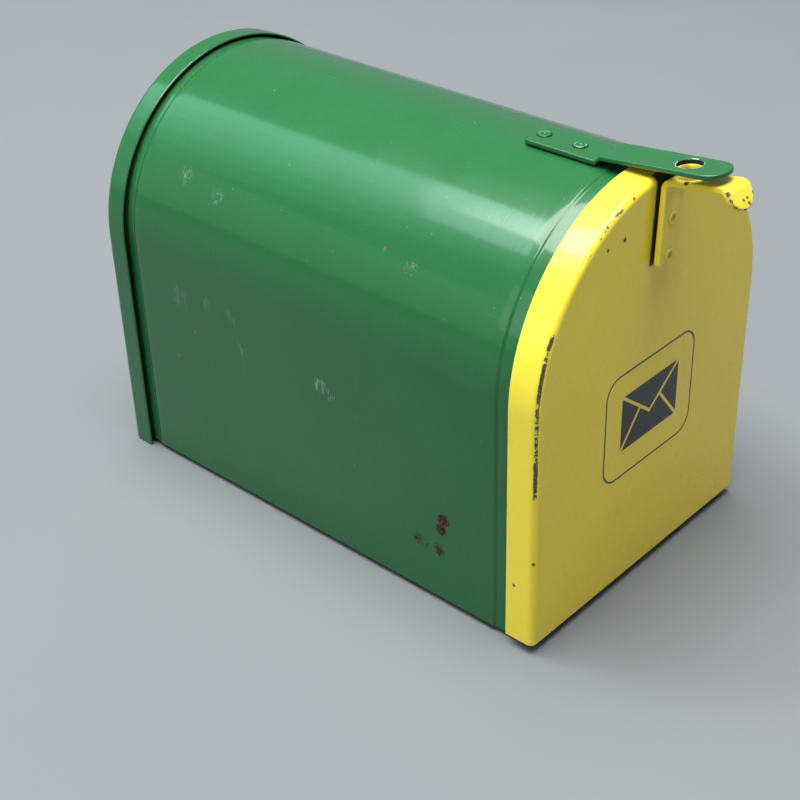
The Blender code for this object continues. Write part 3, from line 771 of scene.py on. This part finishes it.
def body_profile():
    """The body's sheet from front to rear, outer side first, with rounded ends and soft neck ramps."""
    front = BODY_LOW.y
    rear = BODY_HIGH.y
    outer = []

    def ramp(start, end, low, high, steps=8):
        for step in range(steps + 1):
            share = step / steps
            soft = share * share * (3 - 2 * share)
            outer.append((low + (high - low) * soft, start + (end - start) * share))

    edge = SHEET / 2
    outer.append((NECK_DROP, front + edge))
    ramp(FRONT_Y + FRONT_NECK - NECK_RAMP, FRONT_Y + FRONT_NECK + NECK_RAMP * 0.3, NECK_DROP, 0.0)
    start = FRONT_Y + FRONT_NECK + NECK_RAMP * 0.3
    end = BACK_Y - REAR_NECK - NECK_RAMP * 0.3
    for step in range(1, LONG_STEPS):
        outer.append((0.0, start + (end - start) * step / LONG_STEPS))
    ramp(end, BACK_Y - REAR_NECK + NECK_RAMP, 0.0, NECK_DROP)
    outer.append((NECK_DROP, rear - edge))
    inner = [(inset + SHEET, y) for inset, y in reversed(outer)]
    rear_round = [
        (NECK_DROP + edge - u, rear - edge + v) for u, v in arc((0, 0), edge, 0.0, 180.0, 6)[1:-1]
    ]
    front_round = [
        (NECK_DROP + edge + u, front + edge - v) for u, v in arc((0, 0), edge, 0.0, 180.0, 6)[1:-1]
    ]
    return outer + rear_round + inner + front_round, len(outer) + len(rear_round)


def combine(piece, tool, operation):
    """Cuts or joins a tool's solid, as a modifier of the piece."""
    change = piece.modifiers.new(tool.name, "BOOLEAN")
    change.operation = operation
    change.object = tool
    change.solver = "EXACT"


def drill(piece, name, radius, centre, axis):
    """A clean round hole through a finished piece."""
    bm = bmesh.new()
    bmesh.ops.create_cone(
        bm, cap_ends=True, segments=ROUND_STEPS, radius1=radius, radius2=radius, depth=DRILL_DEPTH
    )
    turn = {"x": Matrix.Rotation(math.pi / 2, 4, "Y"), "y": Matrix.Rotation(math.pi / 2, 4, "X")}
    bmesh.ops.transform(bm, matrix=turn.get(axis, Matrix.Identity(4)), verts=bm.verts)
    bmesh.ops.translate(bm, verts=bm.verts, vec=centre)
    tool = mesh_object(name, bm)
    combine(piece, tool, "DIFFERENCE")
    return tool


def apply_modifiers(piece):
    """Makes the piece's modifiers part of its mesh."""
    graph = bpy.context.evaluated_depsgraph_get()
    mesh = bpy.data.meshes.new_from_object(piece.evaluated_get(graph), depsgraph=graph)
    old = piece.data
    piece.modifiers.clear()
    piece.data = mesh
    bpy.data.meshes.remove(old)


def drill_all(piece, holes):
    """Drills each (radius, centre, axis) hole and keeps the result as the piece's mesh."""
    tools = [drill(piece, f"hole_{index}", *hole) for index, hole in enumerate(holes)]
    bpy.context.view_layer.update()
    apply_modifiers(piece)
    for tool in tools:
        bpy.data.objects.remove(tool)


def rivet_centre(node):
    low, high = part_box(node)
    return (low + high) / 2


def build_body():
    profile, inner_start = body_profile()
    bm = bmesh.new()
    rows, strips = sweep_arch(
        bm, profile, BODY_HALF_WIDTH, SPRING_Z, BODY_LOW.z, closed=True, wave=sheet_wave
    )
    for index, face in strips:
        face.material_index = 1 if index >= inner_start else 0
    bm.faces.new(rows[0])
    bm.faces.new(rows[-1])
    body = make_piece("body_wrap", bm, [green_body, green_inside], "box", "body_shell")
    holes = []
    for node in STRAP_RIVETS:
        centre = rivet_centre(node)
        holes.append((RIVET_BORE, Vector((centre.x, centre.y, CROWN_Z)), "z"))
    pivot = rivet_centre("flag_pivot_rivet")
    holes.append((FLAG_BORE, Vector((BODY_HALF_WIDTH, pivot.y, pivot.z)), "x"))
    drill_all(body, holes)
    return body


# Extra edge lines beside a panel's bend and lip, which keep its broad faces flat.
NEAR_LOOP = 0.1 * MM
FAR_LOOP = 0.4 * MM
FLANGE_LOOP = 0.3 * MM


def pan_profile(face_y, inward, edge_y):
    """The profile of a pressed panel: outer face, bend, flange, rounded sheet edge, and back inside."""
    outer = [(BEND_RADIUS + FAR_LOOP, face_y), (BEND_RADIUS + NEAR_LOOP, face_y)]
    outer += [
        (BEND_RADIUS - BEND_RADIUS * math.sin(angle), face_y + inward * BEND_RADIUS * (1 - math.cos(angle)))
        for angle in (math.pi / 2 * step / 12 for step in range(13))
    ]
    edge = SHEET / 2
    outer.append((0.0, face_y + inward * (BEND_RADIUS + FLANGE_LOOP)))
    outer.append((0.0, edge_y - inward * (edge + FLANGE_LOOP)))
    lip = [
        (edge - edge * math.cos(angle), edge_y - inward * edge * (1 - math.sin(angle)))
        for angle in (math.pi * step / 8 for step in range(9))
    ]
    inner_radius = BEND_RADIUS - SHEET
    inner = [(SHEET, edge_y - inward * (edge + FLANGE_LOOP))]
    inner += [
        (
            BEND_RADIUS - inner_radius * math.sin(angle),
            face_y + inward * (BEND_RADIUS - inner_radius * math.cos(angle)),
        )
        for angle in (math.pi / 2 * (1 - step / 8) for step in range(9))
    ]
    inner += [
        (BEND_RADIUS + NEAR_LOOP, face_y + inward * SHEET),
        (BEND_RADIUS + FAR_LOOP, face_y + inward * SHEET),
    ]
    return outer + lip + inner, len(outer) + len(lip) // 2


def build_pan(name, node, body, looks, inward):
    """A pressed panel in its CAD node's box. Inward is the Y direction from its face to its flange's edge."""
    low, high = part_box(node)
    face_y, edge_y = (low.y, high.y) if inward > 0 else (high.y, low.y)
    profile, inner_start = pan_profile(face_y, inward, edge_y)
    bm = bmesh.new()
    rows, strips = sweep_arch(bm, profile, high.x, high.z - high.x, low.z, closed=False)
    for index, face in strips:
        face.material_index = 1 if index >= inner_start else 0
    outer_face = bm.faces.new([row[0] for row in rows])
    inner_face = bm.faces.new([row[-1] for row in rows])
    outer_face.material_index = 0
    inner_face.material_index = 1
    bm.faces.new(rows[0] + rows[-1][::-1])
    return make_piece(name, bm, looks, body, node)


def build_back():
    looks = [green_plain, green_inside]
    back = build_pan("back_cap", "back_panel", "box", looks, -1.0)
    return round_edges(back, SHEET_EDGE, 2, 60.0)


HINGE_Y = (PIN_LOW.y + PIN_HIGH.y) / 2
HINGE_Z = (PIN_LOW.z + PIN_HIGH.z) / 2
CURL_INNER = 0.9 * MM
CURL_WIDTH = 9.0 * MM
CURL_X = 23.0 * MM
CURL_DEGREES = 300.0


def curl_tool(side):
    """A tab that runs back from the door's foot and curls round the hinge pin."""
    start = FRONT_Y + SHEET / 2
    outer_radius = CURL_INNER + SHEET
    outline = [(start, HINGE_Z - outer_radius)]
    outline += arc((HINGE_Y, HINGE_Z), outer_radius, -90.0, CURL_DEGREES - 90.0, ROUND_STEPS)
    outline += arc((HINGE_Y, HINGE_Z), CURL_INNER, CURL_DEGREES - 90.0, -90.0, ROUND_STEPS)
    outline.append((start, HINGE_Z - CURL_INNER))
    low_x = side * CURL_X - CURL_WIDTH / 2
    bm = bmesh.new()
    ends = [[bm.verts.new((low_x + shift, y, z)) for y, z in outline] for shift in (0.0, CURL_WIDTH)]
    bm.faces.new(ends[0])
    bm.faces.new(ends[1])
    for index in range(len(outline)):
        following = (index + 1) % len(outline)
        bm.faces.new((ends[0][index], ends[0][following], ends[1][following], ends[1][index]))
    bmesh.ops.recalc_face_normals(bm, faces=bm.faces)
    tool = mesh_object("curl", bm)
    tool.data.materials.append(yellow_inside)
    return tool


def build_door():
    looks = [yellow_door, yellow_inside]
    door = build_pan("door_skin", "door_panel", "door", looks, 1.0)
    curls = [curl_tool(side) for side in (-1, 1)]
    for curl in curls:
        combine(door, curl, "UNION")
    holes = [
        (RIVET_BORE, Vector((rivet_centre(node).x, FRONT_Y, rivet_centre(node).z)), "y")
        for node in HANDLE_RIVETS
    ]
    drill_all(door, holes)
    for curl in curls:
        bpy.data.objects.remove(curl)
    door.data.shade_smooth()
    door.data.set_sharp_from_angle(angle=math.radians(35))
    return round_edges(door, SHEET_EDGE, 2, 60.0)


STRAP_THICK = 1.1 * MM
STRAP_TAIL = STRAP_HIGH.y - FRONT_Y
STRAP_REACH = FRONT_Y - STRAP_LOW.y
STRAP_STEP = 14.5 * MM
STRAP_STEP_RUN = 1.6 * MM
STRAP_STEP_RISE = 1.35 * MM
STRAP_SLOPE = 0.109
STRAP_HOLE = 2.6 * MM


def strap_top(distance):
    """Height of the strap's top at a distance behind the door's face."""
    tail_z = STRAP_LOW.z + STRAP_THICK
    if distance >= STRAP_STEP:
        return tail_z
    run = min(STRAP_STEP - distance, STRAP_STEP_RUN) / STRAP_STEP_RUN
    step = STRAP_STEP_RISE * run * run * (3 - 2 * run)
    return tail_z + step + max(0.0, STRAP_STEP - STRAP_STEP_RUN - distance) * STRAP_SLOPE


def rounded_bar(half, low, high, low_radius, high_radius):
    """A bar outline in (x, distance), with its own corner radius at each end."""
    outline = arc((half - low_radius, low + low_radius), low_radius, -90.0, 0.0, 12)
    outline += arc((half - high_radius, high - high_radius), high_radius, 0.0, 90.0, 12)
    outline += arc((-half + high_radius, high - high_radius), high_radius, 90.0, 180.0, 12)
    outline += arc((-half + low_radius, low + low_radius), low_radius, 180.0, 270.0, 12)
    return outline


def circle(centre, radius, steps=ROUND_STEPS):
    return arc(centre, radius, 0.0, 360.0 - 360.0 / steps, steps - 1)


def build_strap():
    half = STRAP_HIGH.x
    outline = rounded_bar(half, -STRAP_REACH, STRAP_TAIL, 4.0 * MM, 1.8 * MM)
    holes = [circle((0.0, -PADLOCK_Y), STRAP_HOLE)]
    for node in STRAP_RIVETS:
        holes.append(circle((0.0, rivet_centre(node).y - FRONT_Y), RIVET_BORE, 24))
    bm = blank(outline, holes, STRAP_THICK, 0.3 * MM)
    steps = 10
    score(bm, 1, [STRAP_STEP - STRAP_STEP_RUN * step / steps for step in range(-2, steps + 3)])
    score(bm, 1, [-STRAP_REACH * 0.5, 4 * MM, 8 * MM])
    press(bm, lambda u, v, w: (u, FRONT_Y + v, strap_top(v) - STRAP_THICK / 2 + w))
    strap = make_piece("strap_bar", bm, [green_strap], "box", "latch_strap", 50.0)
    return even_normals(strap)


HANDLE_THICK = 1.5 * MM
HANDLE_FOOT_CORNER = 0.8 * MM
HANDLE_BEND = 2.5 * MM
HANDLE_SLOPE = 0.15
HANDLE_TONGUE = 11.6 * MM
HANDLE_HOLE = 2.2 * MM
TAB_BEND = 2.3 * MM
TAB_TILT = math.radians(56.0)
TAB_RADIUS = 3.9 * MM
TAB_CENTRE = 0.1 * MM


def handle_runs():
    """The handle's middle line in YZ, from the foot up, as runs of (length, turn in radians)."""
    slope = math.atan(HANDLE_SLOPE)
    upper_turn = math.pi / 2 - slope
    tab_turn = slope + TAB_TILT
    return (
        (HANDLE_TOP_Z - HANDLE_BEND - HANDLE_LOW.z, 0.0),
        ((HANDLE_BEND - HANDLE_THICK / 2) * upper_turn, upper_turn),
        (HANDLE_TONGUE, 0.0),
        ((TAB_BEND - HANDLE_THICK / 2) * tab_turn, tab_turn),
        (TAB_CENTRE + TAB_RADIUS, 0.0),
    )


def handle_point(distance):
    """Where the middle line is at a distance from the foot, as (y, z, heading), with heading 0 up."""
    y = HANDLE_HIGH.y - HANDLE_THICK / 2
    z = HANDLE_LOW.z
    heading = 0.0
    for length, turn in handle_runs():
        step = min(distance, length)
        distance -= step
        if turn == 0.0:
            y -= step * math.sin(heading)
            z += step * math.cos(heading)
        else:
            radius = length / turn
            start = heading
            heading += step / radius
            y += radius * (math.cos(heading) - math.cos(start))
            z += radius * (math.sin(heading) - math.sin(start))
    return y, z, heading


def build_handle():
    runs = handle_runs()
    ends = [sum(length for length, _ in runs[:count]) for count in range(len(runs) + 1)]
    centre = ends[4] + TAB_CENTRE
    join = math.degrees(math.asin(HANDLE_HALF / TAB_RADIUS))
    corner = HANDLE_FOOT_CORNER
    right = arc((HANDLE_HALF - corner, corner), corner, -90.0, 0.0, 8)
    right += [(HANDLE_HALF, ends[3] - 0.4 * MM), (HANDLE_HALF + 0.05 * MM, ends[3])]
    right += arc((0.0, centre), TAB_RADIUS, join - 90.0 + 6.0, 90.0, 40)
    left = [(-x, v) for x, v in reversed(right[:-1])]
    outline = []
    for x, v in right + left:
        rough = noise.noise(Vector((x / (1.1 * MM), v / (1.1 * MM), 4.0))) * 0.10 * MM
        share = min(1.0, max(0.0, (v - ends[3]) / (2 * MM)))
        outline.append((x * (1 - rough * share / TAB_RADIUS), v - max(0.0, rough) * share))
    padlock = ends[2] + PADLOCK_Y - HANDLE_THICK / 2 - HANDLE_BEND
    holes = [circle((0.0, padlock), HANDLE_HOLE)]
    for node in HANDLE_RIVETS:
        holes.append(circle((0.0, rivet_centre(node).z - HANDLE_LOW.z), RIVET_BORE, 24))
    bm = blank(outline, holes, HANDLE_THICK, 0.38 * MM)
    score(bm, 1, [ends[1] + (ends[2] - ends[1]) * step / 16 for step in range(17)])
    score(bm, 1, [ends[3] + (ends[4] - ends[3]) * step / 12 for step in range(13)])

    def form(u, v, w):
        y, z, heading = handle_point(v)
        lean = HANDLE_X + HANDLE_LEAN * min(0.0, z - HANDLE_TOP_Z)
        return (lean + u, y + w * math.cos(heading), z + w * math.sin(heading))

    press(bm, form)
    handle = make_piece("handle_bar", bm, [yellow_handle], "door", "door_handle", 50.0)
    return even_normals(handle)


RIVET_HEAD = 1.5 * MM
RIVET_SHANK = 0.8 * MM
RIVET_TAIL_HEIGHT = 0.6 * MM
SEAT_GAP = 0.1 * MM


def rivet_profile(top, tail, shoulder):
    """A rivet as (radius, height): a dished head, a shank and a formed tail. The head sits at SEAT_GAP."""
    rim = top - SEAT_GAP
    dish = 0.28 * MM
    profile = [(0.0, top - dish)]
    for step in range(1, 9):
        share = step / 8
        profile.append((1.05 * MM * share, top - dish * (1 - share * share * (3 - 2 * share))))
    for step in range(1, 7):
        angle = math.pi / 2 * step / 6
        profile.append((1.2 * MM + 0.3 * MM * math.sin(angle), top - rim * 0.8 * (1 - math.cos(angle))))
    profile += [(RIVET_HEAD, SEAT_GAP), (RIVET_SHANK, SEAT_GAP)]
    if shoulder:
        high, low = shoulder
        ring = RIVET_HEAD * 0.9
        profile += [(RIVET_SHANK, high), (ring, high), (ring, low), (RIVET_SHANK, low)]
    profile += [(RIVET_SHANK, tail), (RIVET_HEAD, tail)]
    for step in range(7):
        angle = math.pi / 2 * step / 6
        height = tail - RIVET_TAIL_HEIGHT * (0.4 + 0.6 * math.sin(angle))
        profile.append((0.9 * MM + 0.6 * MM * math.cos(angle), height))
    profile.append((0.0, tail - RIVET_TAIL_HEIGHT))
    return profile


def build_rivets():
    tail_z = STRAP_LOW.z + STRAP_THICK
    for node in STRAP_RIVETS:
        low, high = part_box(node)
        middle = (low + high) / 2
        profile = rivet_profile(high.z - tail_z, low.z + RIVET_TAIL_HEIGHT - tail_z, None)
        bm = turned(profile, lambda u, v, w, m=middle: (m.x + u, m.y + v, tail_z + w))
        make_piece(f"{node}_head", bm, [green_rivet], "box", node, 50.0)
    front = HANDLE_HIGH.y - HANDLE_THICK
    for node in HANDLE_RIVETS:
        low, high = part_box(node)
        middle = (low + high) / 2
        tail = front - high.y + RIVET_TAIL_HEIGHT
        shoulder = (front - HANDLE_HIGH.y - SEAT_GAP, front - FRONT_Y + SEAT_GAP)
        profile = rivet_profile(front - low.y, tail, shoulder)
        bm = turned(profile, lambda u, v, w, m=middle: (m.x + u, front - w, m.z + v))
        make_piece(f"{node}_head", bm, [yellow_rivet], "door", node, 50.0)


def build_pin():
    radius = (PIN_HIGH.z - PIN_LOW.z) / 2
    half = PIN_HIGH.x
    soft = 0.2 * MM
    profile = [(0.0, -half)]
    profile += arc((radius - soft, soft - half), soft, -90.0, 0.0, 5)
    profile += arc((radius - soft, half - soft), soft, 0.0, 90.0, 5)
    profile.append((0.0, half))
    bm = turned(profile, lambda u, v, w: (w, HINGE_Y + u, HINGE_Z + v))
    return make_piece("hinge_wire", bm, [wire_steel], "box", "hinge_pin", 50.0)


FLAG_HALF = 2.6 * MM
FLAG_HUB = 4.2 * MM


def build_flag():
    pivot = rivet_centre("flag_pivot_rivet")
    arm_end = FLAG_HIGH.y - pivot.y
    bottom = FLAG_LOW.z - pivot.z
    blade_start = arm_end - 20.0 * MM
    soft = 1.6 * MM
    neck = math.degrees(math.asin(FLAG_HALF / FLAG_HUB))
    outline = arc((0.0, 0.0), FLAG_HUB, neck, 360.0 - neck, ROUND_STEPS)
    outline += arc((blade_start - soft, -FLAG_HALF - soft), soft, 90.0, 0.0, 10)
    outline += arc((blade_start + soft, bottom + soft), soft, 180.0, 270.0, 10)
    outline += arc((arm_end - soft, bottom + soft), soft, 270.0, 360.0, 10)
    outline += arc((arm_end - soft, FLAG_HALF - soft), soft, 0.0, 90.0, 10)
    thick = FLAG_HIGH.x - FLAG_LOW.x
    bm = blank(outline, [circle((0.0, 0.0), 1.28 * MM)], thick, 0.2 * MM)
    middle_x = (FLAG_LOW.x + FLAG_HIGH.x) / 2
    press(bm, lambda u, v, w: (middle_x + w, pivot.y + u, pivot.z + v))
    flag = make_piece("signal_flag", bm, [red_flag], "flag", "flag", 50.0)
    return even_normals(flag)


def build_pivot():
    low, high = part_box("flag_pivot_rivet")
    middle = (low + high) / 2
    head = (high.z - low.z) / 2
    outer = FLAG_HIGH.x + 0.1 * MM
    inner = BODY_HALF_WIDTH - SHEET - 0.1 * MM
    shank = 1.2 * MM
    profile = [(0.0, high.x)] + [
        (head * math.sin(angle), outer + (high.x - outer) * (0.12 + 0.88 * math.cos(angle)))
        for angle in (math.pi / 2 * step / 12 for step in range(1, 13))
    ]
    profile += [(head, outer), (shank, outer), (shank, inner), (head * 0.8, inner)]
    profile += [(head * 0.8, (inner + low.x) / 2), (head * 0.5, low.x), (0.0, low.x)]
    bm = turned(profile, lambda u, v, w: (w, middle.y + u, middle.z + v))
    make_piece("flag_rivet", bm, [wire_steel], "box", "flag_pivot_rivet", 50.0)
    low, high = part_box("flag_spring_washer")
    rim = circle((0.0, 0.0), (high.z - low.z) / 2)
    bm = blank(rim, [circle((0.0, 0.0), FLAG_BORE)], high.x - low.x, 0.08 * MM)
    middle_x = (low.x + high.x) / 2
    press(bm, lambda u, v, w: (middle_x + w, middle.y + u, middle.z + v))
    make_piece("flag_washer", bm, [zinc_steel], "box", "flag_spring_washer", 50.0)


def dress_floor_pan():
    """The floor pan keeps its CAD shape, with plated steel and softened edges."""
    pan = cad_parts["floor_pan"]
    pan.data.materials.clear()
    pan.data.materials.append(zinc_steel)
    round_edges(pan, 0.12 * MM, 2, 50.0)


build_body()
build_back()
build_door()
build_strap()
build_handle()
build_rivets()
build_pin()
build_flag()
build_pivot()
dress_floor_pan()


# --- studio ------------------------------------------------------------------------------------------------

CAMERA_AZIMUTH = -46.81
CAMERA_ELEVATION = 32.65
CAMERA_ROLL = -1.86
CAMERA_DISTANCE = 335.4 * MM
CAMERA_LENS = 70.4
CAMERA_TARGET = Vector((-38.6 * MM, FRONT_Y + 38.0 * MM, 50.0 * MM))


def add_camera():
    azimuth = math.radians(CAMERA_AZIMUTH)
    elevation = math.radians(CAMERA_ELEVATION)
    back = Vector((
        math.sin(azimuth) * math.cos(elevation),
        -math.cos(azimuth) * math.cos(elevation),
        math.sin(elevation),
    ))
    right = Vector((math.cos(azimuth), math.sin(azimuth), 0.0))
    up = back.cross(right)
    level = Matrix((right, up, back)).transposed()
    camera = bpy.data.cameras.new("camera")
    camera.lens = CAMERA_LENS
    camera.clip_start = 0.01
    camera.clip_end = 20.0
    holder = bpy.data.objects.new("camera", camera)
    turn = level @ Matrix.Rotation(math.radians(CAMERA_ROLL), 3, "Z")
    holder.matrix_world = Matrix.Translation(CAMERA_TARGET + back * CAMERA_DISTANCE) @ turn.to_4x4()
    bpy.context.scene.collection.objects.link(holder)
    bpy.context.scene.camera = holder


def add_floor():
    bm = bmesh.new()
    bmesh.ops.create_circle(bm, cap_ends=True, segments=128, radius=2.0)
    floor = mesh_object("floor", bm)
    look = Finish("pale_floor")
    cloud = look.noise(60.0, 3.0, 0.5)
    colour = look.mix(cloud, (0.155, 0.162, 0.175), (0.17, 0.178, 0.19))
    look.shader.inputs["Roughness"].default_value = 0.85
    floor.data.materials.append(look.paint(colour))


def add_softbox(name, direction, distance, width, height, radiance, tint, roll=0.0):
    """A rectangular light on a direction from the box, turned towards it, with the given radiance."""
    light = bpy.data.lights.new(name, "AREA")
    light.shape = "RECTANGLE"
    light.size = width
    light.size_y = height
    light.energy = radiance * math.pi * width * height
    light.color = tint
    holder = bpy.data.objects.new(name, light)
    aim = Vector(direction).normalized()
    holder.location = aim * distance + Vector((0.0, 0.0, 50.0 * MM))
    turn = aim.to_track_quat("Z", "Y") @ Matrix.Rotation(math.radians(roll), 3, "Z").to_quaternion()
    holder.rotation_euler = turn.to_euler()
    bpy.context.scene.collection.objects.link(holder)


def add_studio():
    """Soft light from above, a soft bright strip behind for the streak on the shoulder, and dim fill."""
    world = bpy.data.worlds.new("studio")
    world.use_nodes = True
    background = world.node_tree.nodes["Background"]
    background.inputs["Color"].default_value = (0.86, 0.93, 1.0, 1.0)
    background.inputs["Strength"].default_value = 0.30
    bpy.context.scene.world = world
    bpy.context.scene.view_settings.view_transform = "Standard"
    add_softbox("overhead", (-0.12, 0.05, 1.0), 1.3, 1.2, 1.1, 11.2, (1.0, 0.99, 0.96))
    # Boxes of growing size inside each other fade out towards their edges.
    for share in (1.0, 0.8, 0.6, 0.4):
        add_softbox(
            "streak", (-0.30, 0.57, 0.89), 1.1, 0.42 * share, 0.13 * share, 5.0, (0.76, 0.96, 1.0), roll=-33.0
        )
    for share in (1.0, 0.8, 0.6, 0.4, 0.2):
        aim = (-0.08 - 0.26 * share, 0.655, 0.70)
        add_softbox("glow", aim, 1.4, 0.80 * share, 0.80, 0.65, (0.45, 1.0, 0.84), roll=-16.0)
    add_softbox("wall", (-0.72, 0.66, 0.22), 1.4, 1.1, 0.55, 0.55, (0.6, 1.0, 0.85))
    add_softbox("side", (-1.0, 0.2, 0.45), 1.3, 0.9, 0.6, 1.1, (1.0, 0.98, 0.95))


add_camera()
add_floor()
add_studio()
